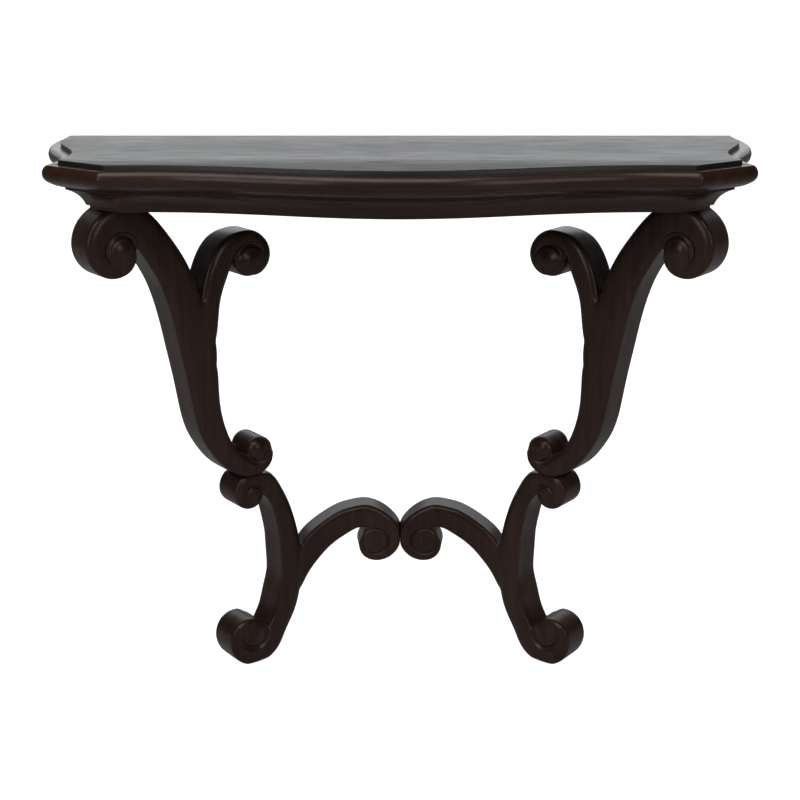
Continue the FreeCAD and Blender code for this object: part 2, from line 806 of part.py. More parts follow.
rail_face = wall_line - size("rail_thick")
rail_blank = doc.addObject("Part::Box", "rail_blank")
rail_half = "Sizes.front_half + Sizes.cant_run - Sizes.waist_in + Sizes.flare_out - Sizes.apron_inset"
rail_blank.setExpression("Length", f"2 * ({rail_half})")
rail_blank.setExpression("Width", "Sizes.rail_thick")
rail_top = "Sizes.apron_height + Sizes.lip_height + Sizes.panel_step"
rail_blank.setExpression("Height", f"{rail_top} - Sizes.veneer_thick - Sizes.panel_thick")
rail_blank.Placement = Placement(
    Vector(-(back_half - size("apron_inset")), rail_face, apron_bottom), Rotation())
wall_hole_height = (apron_bottom + panel_bottom) / 2
to_wall = Rotation(UP, BACK)
wall_holes = group("wall_holes", [
    rod(name, "Sizes.wall_hole_dia / 2", "Sizes.rail_thick",
        Placement(Vector(way * size("wall_hole_spacing") / 2, rail_face, wall_hole_height), to_wall))
    for name, way in (("wall_hole_left", -1), ("wall_hole_right", 1))])
nodes.append(cut("back_rail", rail_blank, wall_holes))

glue_blank = doc.addObject("Part::Box", "glue_blank")
glue_blank.setExpression("Length", "Sizes.glue_block_side")
glue_blank.setExpression("Width", "Sizes.glue_block_side")
glue_blank.setExpression("Height", "Sizes.glue_block_height")
glue_corner = Vector(
    -(back_half - size("apron_inset")),
    rail_face - size("glue_block_side"),
    panel_bottom - size("glue_block_height"))
glue_blank.Placement = Placement(glue_corner, Rotation())
screw_place = glue_corner + (RIGHT + BACK) * size("glue_block_side") / 2
screw_bore = rod(
    "screw_bore", "Sizes.screw_dia / 2 + Sizes.hole_clearance", "Sizes.screw_length",
    Placement(screw_place, Rotation()))
glue_block = cut("back_block_left", glue_blank, screw_bore)
nodes += [glue_block, mirrored("back_block_right", glue_block)]

panel_blank = plan_body("panel_blank", panel_outline(), "panel_thick", panel_bottom)
screw_bores = group("screw_bores", [screw_bore, mirrored("screw_bore_right", screw_bore)])
nodes.append(cut("top_panel", panel_blank, screw_bores))
nodes.append(plan_body("top_veneer", panel_outline(), "veneer_thick", panel_top))


# Fasteners, each pair of sides as one group

def both_sides(label, pieces):
    """Left-hand fasteners and their right-hand twins, as one node."""
    twins = [mirrored(piece.Label + "_right", piece) for piece in pieces]
    nodes.append(group(label, pieces + twins))


def leg_rods(prefix, starts, turn, diameter, length):
    """Dowels or bolts set in the left leg."""
    places = [leg_place.multiply(Placement(start, turn)) for start in starts]
    return [
        rod(f"{prefix}_{i}", f"Sizes.{diameter} / 2", f"Sizes.{length}", place)
        for i, place in enumerate(places)]


to_right = Rotation(UP, RIGHT)
both_sides("hanger_bolts", leg_rods("bolt", [bolt_start], Rotation(), "bolt_dia", "bolt_length"))
both_sides("leg_dowels", leg_rods("leg_dowel", leg_dowel_starts, Rotation(), "dowel_dia", "dowel_length"))
both_sides("branch_dowels", leg_rods(
    "branch_dowel", branch_dowel_starts, to_right, "slim_dowel_dia", "slim_dowel_length"))
both_sides("stretcher_dowels", leg_rods(
    "stretcher_dowel", stretcher_dowel_starts, to_right, "slim_dowel_dia", "slim_dowel_length"))
nodes.append(rod(
    "centre_dowel", "Sizes.dowel_dia / 2", "Sizes.dowel_length",
    Placement(centre_place - RIGHT * size("dowel_length") / 2, to_right)))

washer_place = Placement(bolt_place + UP * block_top, Rotation())
washer_blank = rod("washer_blank", "Sizes.washer_dia / 2", "Sizes.washer_height", washer_place)
both_sides("bolt_washers", [cut("washer", washer_blank, bolt_bore)])

nut_blank = doc.addObject("Part::Prism", "nut_blank")
nut_blank.Polygon = 6
nut_blank.setExpression("Circumradius", "Sizes.nut_width / sqrt(3)")
nut_blank.setExpression("Height", "Sizes.nut_height")
nut_blank.Placement = Placement(bolt_place + UP * (block_top + size("washer_height")), Rotation())
both_sides("bolt_nuts", [cut("nut", nut_blank, bolt_bore)])

screw_shank = rod(
    "screw_shank", "Sizes.screw_dia / 2", "Sizes.screw_length", Placement(screw_place, Rotation()))
screw_head = rod(
    "screw_head", "Sizes.screw_head_dia / 2", "Sizes.screw_head_height",
    Placement(screw_place - UP * size("screw_head_height"), Rotation()))
both_sides("panel_screws", [fused("panel_screw", screw_shank, screw_head)])

glide_place = leg_place.multiply(Placement(glide_centre, Rotation()))
glide_disc = rod("glide_disc", "Sizes.glide_radius", "Sizes.glide_height", glide_place)
glide_nail = rod("glide_nail", "Sizes.nail_dia / 2", "Sizes.glide_height + Sizes.nail_length", glide_place)
both_sides("foot_glides", [fused("foot_glide", glide_disc, glide_nail)])

doc.recompute()

for obj in doc.Objects:
    if "Invalid" in obj.State or "Error" in obj.State:
        raise RuntimeError(f"{obj.Label} did not compute: {obj.State}")
for node in nodes:
    if node.Shape.isNull() or not node.Shape.isValid():
        raise RuntimeError(f"{node.Label} has no valid shape")

os.makedirs("parts", exist_ok=True)
for node in nodes:
    node.Shape.exportStep(f"parts/{node.Label}.step")
    print(node.Label, len(node.Shape.Solids), round(node.Shape.Volume))
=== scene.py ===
"""Dresses the pier table: softened scroll legs, run mouldings, a veneered top and a studio."""
import logging
import math
from dataclasses import dataclass, field
from enum import Enum

import bpy
import numpy as np
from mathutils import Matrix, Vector


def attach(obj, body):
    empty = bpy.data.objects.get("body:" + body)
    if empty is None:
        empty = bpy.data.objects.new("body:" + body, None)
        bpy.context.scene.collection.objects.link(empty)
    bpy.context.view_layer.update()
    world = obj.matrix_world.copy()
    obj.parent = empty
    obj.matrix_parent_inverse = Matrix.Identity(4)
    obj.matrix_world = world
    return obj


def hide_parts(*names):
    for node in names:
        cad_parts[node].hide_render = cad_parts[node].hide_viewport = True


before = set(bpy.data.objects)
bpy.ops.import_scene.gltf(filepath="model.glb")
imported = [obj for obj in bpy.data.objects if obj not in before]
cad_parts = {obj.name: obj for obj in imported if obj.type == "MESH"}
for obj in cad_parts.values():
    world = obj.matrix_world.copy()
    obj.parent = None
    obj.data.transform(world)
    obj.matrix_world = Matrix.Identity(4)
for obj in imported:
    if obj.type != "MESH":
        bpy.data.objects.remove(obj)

log = logging.getLogger("pier_table")
# The bend value drives the stain's wear with painted highlight on edges and its painted shade in hollows.
EDGE_ATTRIBUTE = "edge_wear"
ORIGIN = (0.0, 0.0, 0.0)
UNTURNED = (0.0, 0.0, 0.0)
NODE_MERGE = 0.00002
SWEEP_MERGE = 0.00001


class Slot(Enum):
    """Material slots of the record."""

    STAINED = "stained_wood"
    VENEER = "top_veneer"
    CORE = "panel_core"
    FRAME = "frame_wood"
    DOWEL = "dowel_wood"
    STEEL = "zinc_steel"
    GLIDE = "glide"


class Side(Enum):
    """The two halves of the table, by the sign of X."""

    LEFT = -1
    RIGHT = 1

    @property
    def word(self) -> str:
        """The side's name as the pieces spell it."""
        return self.name.lower()


class Grain(Enum):
    """Which way the grain runs on a piece, as turns about X, Y and Z in degrees onto the X axis."""

    ALONG_WALL = (0.0, 0.0, 0.0)
    TO_WALL = (0.0, 0.0, 90.0)
    CANT_LEFT = (0.0, 0.0, 36.0)
    CANT_RIGHT = (0.0, 0.0, -36.0)
    UPRIGHT = (0.0, 90.0, 0.0)


@dataclass
class ShaderBench:
    """A material's node tree with short ways to add and join nodes."""

    material: bpy.types.Material

    @classmethod
    def new(cls, name: str) -> "ShaderBench":
        """An empty node material with a Principled surface."""
        material = bpy.data.materials.new(name)
        material.use_nodes = True
        return cls(material)

    @property
    def shader(self) -> bpy.types.Node:
        """The material's Principled node."""
        return self.material.node_tree.nodes["Principled BSDF"]

    def add(self, kind: str, **settings: object) -> bpy.types.Node:
        """Adds a node.

        Args:
            kind: The node's type name.
            settings: Properties of the node, or numbers for its input sockets by name.

        Returns:
            The new node.
        """
        node = self.material.node_tree.nodes.new(kind)
        for key, value in settings.items():
            if hasattr(node, key):
                setattr(node, key, value)
            else:
                node.inputs[key.title()].default_value = value
        return node

    def join(self, source: bpy.types.NodeSocket, target: bpy.types.NodeSocket) -> None:
        """Links an output to an input."""
        self.material.node_tree.links.new(source, target)

    def ramp(self, source: bpy.types.NodeSocket, *stops: tuple[float, tuple[float, ...]]) -> bpy.types.NodeSocket:
        """Maps a value onto colours.

        Args:
            source: The value.
            stops: Places from 0 to 1, each with its colour.

        Returns:
            The colour output.
        """
        node = self.add("ShaderNodeValToRGB")
        elements = node.color_ramp.elements
        while len(elements) < len(stops):
            elements.new(0.5)
        for element, (place, colour) in zip(elements, stops):
            element.position = place
            element.color = (*colour, 1.0)
        self.join(source, node.inputs["Fac"])
        return node.outputs["Color"]

    def span(self, source: bpy.types.NodeSocket, low: float, high: float,
             start: float = 0.0, end: float = 1.0) -> bpy.types.NodeSocket:
        """Maps a value onto a range and holds it there.

        Args:
            source: The value.
            low: The result at start.
            high: The result at end.
            start: The value that gives low.
            end: The value that gives high.

        Returns:
            The mapped value's output.
        """
        node = self.add("ShaderNodeMapRange", clamp=True)
        for name, value in (("From Min", start), ("From Max", end), ("To Min", low), ("To Max", high)):
            node.inputs[name].default_value = value
        self.join(source, node.inputs["Value"])
        return node.outputs["Result"]

    def blend(self, how: str, amount: bpy.types.NodeSocket | float, first: bpy.types.NodeSocket,
              second: bpy.types.NodeSocket | tuple[float, float, float]) -> bpy.types.NodeSocket:
        """Mixes two colours.

        Args:
            how: Blend type.
            amount: How much of the second, as a number or an output.
            first: The colour underneath.
            second: The colour on top, as an output or three numbers.

        Returns:
            The mixed colour output.
        """
        node = self.add("ShaderNodeMix", data_type="RGBA", blend_type=how)
        for value, index in ((amount, 0), (first, 6), (second, 7)):
            if isinstance(value, bpy.types.NodeSocket):
                self.join(value, node.inputs[index])
            elif isinstance(value, tuple):
                node.inputs[index].default_value = (*value, 1.0)
            else:
                node.inputs[index].default_value = value
        return node.outputs[2]

    def math(self, how: str, first: bpy.types.NodeSocket, second: bpy.types.NodeSocket) -> bpy.types.NodeSocket:
        """Reckons with two values.

        Args:
            how: The operation.
            first: The first value.
            second: The second value.

        Returns:
            The result's output.
        """
        node = self.add("ShaderNodeMath", operation=how)
        self.join(first, node.inputs[0])
        self.join(second, node.inputs[1])
        return node.outputs[0]

    def noise(self, turn: tuple[float, float, float], stretch: tuple[float, float, float], detail: float,
              rough: float = 0.55, warp: float = 0.0) -> bpy.types.NodeSocket:
        """A noise value that follows the piece.

        Args:
            turn: Degrees about X, Y and Z that lay the grain along X.
            stretch: How fine the noise is along the turned axes.
            detail: How many finer layers it has.
            rough: How strong the finer layers are.
            warp: How much it wavers.

        Returns:
            The value's output.
        """
        node = self.add("ShaderNodeTexNoise", scale=1.0, detail=detail, roughness=rough, distortion=warp)
        self.join(self.place(turn, stretch), node.inputs["Vector"])
        return node.outputs["Fac"]

    def place(self, turn: tuple[float, float, float], stretch: tuple[float, float, float]) -> bpy.types.NodeSocket:
        """Object coordinates turned so the grain lies along X, then stretched.

        Args:
            turn: Degrees about X, Y and Z.
            stretch: Scales along the turned axes.

        Returns:
            The coordinate output.
        """
        coordinates = self.add("ShaderNodeTexCoord")
        turned = self.add("ShaderNodeMapping", vector_type="TEXTURE")
        turned.inputs["Rotation"].default_value = tuple(math.radians(a) for a in turn)
        stretched = self.add("ShaderNodeMapping")
        stretched.inputs["Scale"].default_value = stretch
        self.join(coordinates.outputs["Object"], turned.inputs["Vector"])
        self.join(turned.outputs["Vector"], stretched.inputs["Vector"])
        return stretched.outputs["Vector"]

    def bump(self, height: bpy.types.NodeSocket, distance: float, strength: float) -> None:
        """Roughens the surface by a height.

        Args:
            height: The height, from 0 to 1.
            distance: What a height of 1 stands for.
            strength: How much of it shows.
        """
        node = self.add("ShaderNodeBump", distance=distance, strength=strength)
        self.join(height, node.inputs["Height"])
        self.join(node.outputs["Normal"], self.shader.inputs["Normal"])

    def settle(self, **values: float) -> None:
        """Sets constant values on the Principled sockets."""
        for name, value in values.items():
            self.shader.inputs[name.replace("_", " ")].default_value = value


@dataclass(frozen=True)
class WoodFinish:
    """A stained wood with pores under a lacquer."""

    name: str
    dark: tuple[float, float, float]
    light: tuple[float, float, float]
    worn: tuple[float, float, float]
    pore: tuple[float, float, float]
    gloss: tuple[float, float]
    coat: float = 0.0
    coat_rough: float = 0.2
    along: float = 5.0
    across: float = 70.0
    pore_along: float = 22.0
    pore_across: float = 420.0
    pore_depth: float = 0.00006
    wear: float = 0.6
    specular: float = 0.5
    streak: float = 0.05
    waver: float = 0.6
    pore_stain: float = 0.7
    pore_sheen: float = 0.9
    figure_layers: tuple[float, float] = (5.0, 0.6)
    figure_range: tuple[float, float] = (0.25, 0.78)
    cloud_stretch: tuple[float, float, float] = (2.0, 7.0, 7.0)
    cloud_dark: tuple[float, float, float] = (0.72, 0.70, 0.70)
    cloud_light: tuple[float, float, float] = (1.15, 1.12, 1.10)
    pore_layers: tuple[float, float] = (3.0, 0.7)
    pore_range: tuple[float, float] = (0.30, 0.43)
    pore_rough: float = 0.14
    rub_stretch: tuple[float, float, float] = (55.0, 55.0, 55.0)
    rub_least: float = 0.75
    groove_shade: float = 0.75
    figure_relief: float = 0.35
    relief_strength: float = 0.6

    def material(self, grain: Grain, turn: float = 0.0) -> bpy.types.Material:
        """Makes the finish for one direction of grain.

        Args:
            grain: Which way the grain runs.
            turn: A further turn of the piece about Z, in degrees.

        Returns:
            The material.
        """
        bench = ShaderBench.new(f"{self.name}_{grain.name.lower()}_{turn:.0f}")
        spin = (grain.value[0], grain.value[1], grain.value[2] + turn)
        figure = bench.noise(spin, (self.along, self.across, self.across), *self.figure_layers, self.waver)
        pores = bench.noise(spin, (self.pore_along, self.pore_across, self.pore_across), *self.pore_layers)
        pits = bench.span(pores, 1.0, 0.0, *self.pore_range)
        bench.join(self._colour(bench, spin, figure, pits), bench.shader.inputs["Base Color"])
        gloss = bench.span(figure, *self.gloss, 0.25, 0.75)
        gloss = bench.math("ADD", gloss, bench.span(pits, 0.0, self.pore_rough))
        bench.join(gloss, bench.shader.inputs["Roughness"])
        relief = bench.math("SUBTRACT", bench.span(figure, 0.0, self.figure_relief), pits)
        bench.bump(relief, self.pore_depth, self.relief_strength)
        sheen = bench.span(figure, self.specular - self.streak, self.specular + self.streak, 0.3, 0.7)
        sheen = bench.math("MULTIPLY", sheen, bench.span(pits, 1.0, self.pore_sheen))
        bench.join(sheen, bench.shader.inputs["Specular IOR Level"])
        bench.settle(Coat_Weight=self.coat, Coat_Roughness=self.coat_rough)
        return bench.material

    def _colour(self, bench: ShaderBench, spin: tuple[float, float, float], figure: bpy.types.NodeSocket,
                pits: bpy.types.NodeSocket) -> bpy.types.NodeSocket:
        """The stain: figure, clouds and pores, lightened on convex edges as wear with a painted highlight and
        darkened in grooves as painted shade with some glaze.

        Args:
            bench: The material's bench.
            spin: Degrees about X, Y and Z that lay the grain along X.
            figure: The grain's figure.
            pits: The pores.

        Returns:
            The colour's output.
        """
        figure_dark, figure_light = self.figure_range
        colour = bench.ramp(figure, (figure_dark, self.dark), (figure_light, self.light))
        cloud = bench.noise(spin, self.cloud_stretch, 2.0)
        shade = bench.ramp(cloud, (0.3, self.cloud_dark), (0.7, self.cloud_light))
        colour = bench.blend("MULTIPLY", 1.0, colour, shade)
        colour = bench.blend("MIX", bench.span(pits, 0.0, self.pore_stain), colour, self.pore)
        edge = bench.add("ShaderNodeAttribute", attribute_name=EDGE_ATTRIBUTE).outputs["Fac"]
        rub = bench.noise(UNTURNED, self.rub_stretch, 4.0)
        # Convex edges take the worn colour: partly real wear, partly a painted highlight.
        worn = bench.span(edge, 0.0, self.wear, 0.55, 1.0)
        lit = bench.math("MULTIPLY", worn, bench.span(rub, self.rub_least, 1.0, 0.35, 0.65))
        colour = bench.blend("MIX", lit, colour, self.worn)
        # Hollows are mixed towards the pore colour as painted shade, partly a glaze; a piece without the edge value
        # takes this mix all over.
        groove = bench.span(edge, self.groove_shade, 0.0, 0.05, 0.45)
        return bench.blend("MIX", groove, colour, self.pore)


@dataclass(frozen=True)
class MetalFinish:
    """Zinc-plated steel with a cloudy film and fine brushing."""

    name: str
    colour: tuple[float, float, float]
    film: tuple[float, float, float]
    cloud_stretch: tuple[float, float, float] = (160.0, 160.0, 160.0)
    brush_stretch: tuple[float, float, float] = (60.0, 60.0, 2400.0)
    brush_depth: float = 0.00004
    rough: tuple[float, float] = (0.48, 0.26)

    def material(self) -> bpy.types.Material:
        """Makes the finish."""
        bench = ShaderBench.new(self.name)
        cloud = bench.noise(UNTURNED, self.cloud_stretch, 5.0)
        brush = bench.noise(UNTURNED, self.brush_stretch, 2.0)
        bench.join(bench.ramp(cloud, (0.35, self.film), (0.65, self.colour)), bench.shader.inputs["Base Color"])
        bench.join(bench.span(cloud, *self.rough, 0.3, 0.7), bench.shader.inputs["Roughness"])
        bench.bump(brush, self.brush_depth, 0.5)
        bench.settle(Metallic=1.0)
        return bench.material


@dataclass(frozen=True)
class GlideFinish:
    """Hard felt-topped plastic under a foot."""

    name: str
    colour: tuple[float, float, float]
    scuff: tuple[float, float, float]
    rub_stretch: tuple[float, float, float] = (90.0, 220.0, 90.0)
    fleck_stretch: tuple[float, float, float] = (900.0, 900.0, 900.0)
    fleck_depth: float = 0.00005
    rough: tuple[float, float] = (0.5, 0.75)

    def material(self) -> bpy.types.Material:
        """Makes the finish."""
        bench = ShaderBench.new(self.name)
        rub = bench.noise(UNTURNED, self.rub_stretch, 6.0, 0.7)
        fleck = bench.noise(UNTURNED, self.fleck_stretch, 2.0)
        bench.join(bench.ramp(rub, (0.45, self.colour), (0.75, self.scuff)), bench.shader.inputs["Base Color"])
        bench.join(bench.span(rub, *self.rough, 0.3, 0.7), bench.shader.inputs["Roughness"])
        bench.bump(fleck, self.fleck_depth, 0.6)
        return bench.material


@dataclass(frozen=True)
class PaperFinish:
    """White studio paper with a faint tooth and a glow."""

    name: str
    dark: tuple[float, float, float]
    light: tuple[float, float, float]
    glow: float
    tooth_stretch: tuple[float, float, float] = (400.0, 400.0, 400.0)

    def material(self) -> bpy.types.Material:
        """Makes the finish."""
        bench = ShaderBench.new(self.name)
        tooth = bench.noise(UNTURNED, self.tooth_stretch, 3.0)
        bench.join(bench.ramp(tooth, (0.3, self.dark), (0.7, self.light)), bench.shader.inputs["Base Color"])
        bench.shader.inputs["Emission Color"].default_value = (1.0, 1.0, 1.0, 1.0)
        bench.settle(Roughness=0.9, Specular_IOR_Level=0.1, Emission_Strength=self.glow)
        return bench.material


STAINED = WoodFinish(
    name="stained_hardwood", dark=(0.0200, 0.0087, 0.0056), light=(0.0350, 0.0145, 0.0090),
    worn=(0.0500, 0.0208, 0.0130), pore=(0.0050, 0.0028, 0.0022), gloss=(0.29, 0.36),
    specular=0.19, coat=0.12, coat_rough=0.13, pore_stain=0.2)
VENEER = WoodFinish(
    name="straight_veneer", dark=(0.0160, 0.0110, 0.0092), light=(0.0340, 0.0225, 0.0185),
    worn=(0.0500, 0.0300, 0.0220), pore=(0.0060, 0.0045, 0.0040), gloss=(0.24, 0.62),
    coat=0.10, coat_rough=0.30, along=12.0, across=130.0, pore_along=16.0, pore_across=230.0,
    pore_depth=0.00012, wear=0.9, streak=0.45, waver=0.15, pore_sheen=0.35)
CORE = WoodFinish(
    name="stained_core", dark=(0.0080, 0.0050, 0.0042), light=(0.0170, 0.0095, 0.0075),
    worn=(0.0400, 0.0220, 0.0150), pore=(0.0040, 0.0028, 0.0025), gloss=(0.42, 0.50))
RAIL = WoodFinish(
    name="raw_stained_frame", dark=(0.0420, 0.0220, 0.0140), light=(0.0900, 0.0500, 0.0320),
    worn=(0.1400, 0.0850, 0.0550), pore=(0.0200, 0.0110, 0.0080), gloss=(0.55, 0.68), pore_depth=0.00012)
DOWEL = WoodFinish(
    name="plain_birch", dark=(0.42, 0.29, 0.17), light=(0.58, 0.43, 0.27),
    worn=(0.66, 0.52, 0.36), pore=(0.30, 0.19, 0.11), gloss=(0.55, 0.68))
PAPER = PaperFinish(name="studio_paper", dark=(0.27, 0.27, 0.27), light=(0.31, 0.31, 0.31), glow=0.97)
STEEL = MetalFinish(name="zinc_plate", colour=(0.62, 0.62, 0.60), film=(0.40, 0.41, 0.42))
GLIDE = GlideFinish(name="foot_glide", colour=(0.020, 0.018, 0.017), scuff=(0.070, 0.064, 0.060))


class Bench:
    """Hand operations on one piece at a time."""

    flat_angle: float = 1.0
    sharp_angle: float = 30.0
    shade_angle: float = 35.0

    @staticmethod
    def clear() -> None:
        """Leaves edit mode and deselects everything."""
        if bpy.context.object and bpy.context.object.mode != "OBJECT":
            bpy.ops.object.mode_set(mode="OBJECT")
        bpy.ops.object.select_all(action="DESELECT")

    @classmethod
    def take(cls, piece: bpy.types.Object) -> None:
        """Makes one piece the only selected and active one.

        Args:
            piece: The piece.
        """
        cls.clear()
        piece.hide_set(False)
        piece.select_set(True)
        bpy.context.view_layer.objects.active = piece

    @classmethod
    def edit(cls, piece: bpy.types.Object, mode: str = "VERT") -> None:
        """Opens a piece in edit mode with everything selected.

        Args:
            piece: The piece.
            mode: Whether points or edges are picked.
        """
        cls.take(piece)
        bpy.ops.object.mode_set(mode="EDIT")
        bpy.ops.mesh.select_mode(type=mode)
        bpy.ops.mesh.select_all(action="SELECT")

    @classmethod
    def copy_of(cls, node: str, name: str) -> bpy.types.Object:
        """A merged copy of a CAD node's mesh.

        Args:
            node: The CAD node.
            name: The new piece's name.

        Returns:
            The new piece.
        """
        piece = bpy.data.objects.new(name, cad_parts[node].data.copy())
        bpy.context.scene.collection.objects.link(piece)
        piece.data.materials.clear()
        cls.edit(piece)
        bpy.ops.mesh.remove_doubles(threshold=NODE_MERGE)
        bpy.ops.object.mode_set(mode="OBJECT")
        return piece

    @classmethod
    def apply(cls, piece: bpy.types.Object, kind: str, **settings: object) -> None:
        """Adds a modifier with its settings and applies it.

        Args:
            piece: The piece.
            kind: The modifier's type name.
            settings: Its properties.
        """
        cls.take(piece)
        modifier = piece.modifiers.new(kind.title(), kind)
        for key, value in settings.items():
            setattr(modifier, key, value)
        bpy.ops.object.modifier_apply(modifier=modifier.name)

    @classmethod
    def smooth(cls, piece: bpy.types.Object, degrees: float) -> None:
        """Shades a piece smooth except over sharper edges."""
        cls.take(piece)
        bpy.ops.object.shade_smooth_by_angle(angle=math.radians(degrees))

    @classmethod
    def ease_edges(cls, piece: bpy.types.Object, width: float) -> None:
        """Rounds a flat-sided piece's sharp edges.

        Args:
            piece: The piece.
            width: Width of the rounding.
        """
        cls.edit(piece, "EDGE")
        bpy.ops.mesh.dissolve_limited(angle_limit=math.radians(cls.flat_angle))
        bpy.ops.mesh.select_all(action="DESELECT")
        bpy.ops.mesh.edges_select_sharp(sharpness=math.radians(cls.sharp_angle))
        bpy.ops.mesh.bevel(offset=width, segments=3, affect="EDGES", clamp_overlap=True)
        bpy.ops.object.mode_set(mode="OBJECT")
        cls.smooth(piece, cls.shade_angle)

    @classmethod
    def line(cls, name: str, points: list[Vector], closed: bool) -> bpy.types.Object:
        """A curve object of straight runs through points.

        Args:
            name: The curve's name.
            points: The points.
            closed: Whether the last point runs back to the first.

        Returns:
            The curve object.
        """
        cls.clear()
        bpy.ops.curve.primitive_bezier_curve_add()
        line = bpy.context.object
        line.name = name
        line.data.splines.clear()
        spline = line.data.splines.new("POLY")
        spline.points.add(len(points) - 1)
        for spot, point in zip(spline.points, points):
            spot.co = (*point, 1.0)
        spline.use_cyclic_u = closed
        return line

    @classmethod
    def part_off(cls, piece: bpy.types.Object, point: Vector, away: Vector) -> None:
        """Saws a piece at a plane and keeps what lies behind it.

        Args:
            piece: The piece.
            point: A point on the cut.
            away: The side that is thrown away.
        """
        cls.edit(piece)
        bpy.ops.mesh.bisect(plane_co=point, plane_no=away, use_fill=True, clear_outer=True)
        bpy.ops.object.mode_set(mode="OBJECT")

    @classmethod
    def mirror_of(cls, piece: bpy.types.Object, name: str) -> bpy.types.Object:
        """The right-hand twin of a left-hand piece, with its own mesh and outward faces.

        Args:
            piece: The left-hand piece.
            name: The twin's name.

        Returns:
            The twin.
        """
        cls.take(piece)
        bpy.ops.object.duplicate()
        twin = bpy.context.object
        twin.name = name
        cls.edit(twin)
        bpy.ops.transform.resize(value=(-1.0, 1.0, 1.0), center_override=ORIGIN)
        bpy.ops.mesh.normals_make_consistent(inside=False)
        bpy.ops.object.mode_set(mode="OBJECT")
        return twin

    @staticmethod
    def mark_edges(piece: bpy.types.Object, passes: int, gain: float, least: float = 0.0) -> None:
        """Stores how far each point stands out of its surroundings, from groove 0 over flat 0.5 to edge 1, which the
        stain turns into painted shade in hollows and wear with a painted highlight on edges.

        Args:
            piece: The piece.
            passes: How often the value is averaged with its neighbours.
            gain: How strongly a bend counts.
            least: The lowest value, 0.5 where hollows are left without painted shade.
        """
        mesh = piece.data
        count = len(mesh.vertices)
        spots = np.empty(count * 3)
        mesh.vertices.foreach_get("co", spots)
        spots = spots.reshape(-1, 3)
        normals = np.empty(count * 3)
        mesh.vertices.foreach_get("normal", normals)
        normals = normals.reshape(-1, 3)
        ends = np.empty(len(mesh.edges) * 2, dtype=np.int64)
        mesh.edges.foreach_get("vertices", ends)
        first, second = ends.reshape(-1, 2).T
        degree = np.bincount(first, minlength=count) + np.bincount(second, minlength=count)
        degree = np.maximum(degree, 1)
        run = spots[second] - spots[first]
        length = np.maximum(np.linalg.norm(run, axis=1), 1e-7)
        bend = np.zeros(count)
        np.add.at(bend, first, -(run * normals[first]).sum(1) / length**2)
        np.add.at(bend, second, (run * normals[second]).sum(1) / length**2)
        bend /= degree
        for _ in range(passes):
            around = np.zeros(count)
            np.add.at(around, first, bend[second])
            np.add.at(around, second, bend[first])
            bend = 0.5 * bend + 0.5 * around / degree
        value = np.clip(0.5 + gain * bend, least, 1.0)
        layer = mesh.attributes.new(EDGE_ATTRIBUTE, "FLOAT", "POINT")
        layer.data.foreach_set("value", value.astype(np.float32))

    @staticmethod
    def hand_over(piece: bpy.types.Object, material: bpy.types.Material, slot: Slot, *nodes: str) -> None:
        """Dresses a finished piece and lets it stand for CAD nodes.

        Args:
            piece: The finished piece.
            material: Its material.
            slot: The record's slot; not used.
            nodes: The CAD nodes it replaces.
        """
        piece.data.materials.clear()
        piece.data.materials.append(material)
        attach(piece, "root")
        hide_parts(*nodes)
        log.info("%s: %d faces", piece.name, len(piece.data.polygons))


@dataclass
class TopPlan:
    """Plan of the raised panel, whose edge every moulding follows."""

    node: str = "top_veneer"
    front_half: float = 0.3700
    slack: float = 0.00001
    rim: list[Vector] = field(init=False)

    def __post_init__(self) -> None:
        """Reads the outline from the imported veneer."""
        spots = {(round(v.co.x, 6), round(v.co.y, 6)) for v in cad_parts[self.node].data.vertices}
        self.rim = [Vector((x, y, 0.0)) for x, y in sorted(spots)]

    def front_edge(self) -> list[Vector]:
        """Points along the front edge, left to right."""
        return [p for p in self.rim if abs(p.x) <= self.front_half + self.slack and p.y < 0]

    def side_edge(self) -> list[Vector]:
        """Points along the left edge, from the wall forward."""
        side = [p for p in self.rim if p.x < -self.front_half - self.slack]
        return sorted(side, key=lambda p: -p.y)

    def cant_edge(self) -> list[Vector]:
        """The two ends of the left cant, from the side to the front."""
        return [self.side_edge()[-1], self.front_edge()[0]]

    def outline(self) -> list[Vector]:
        """The panel's closed outline."""
        left = self.side_edge()
        right = [Vector((-p.x, p.y, 0.0)) for p in reversed(left)]
        return left + self.front_edge() + right


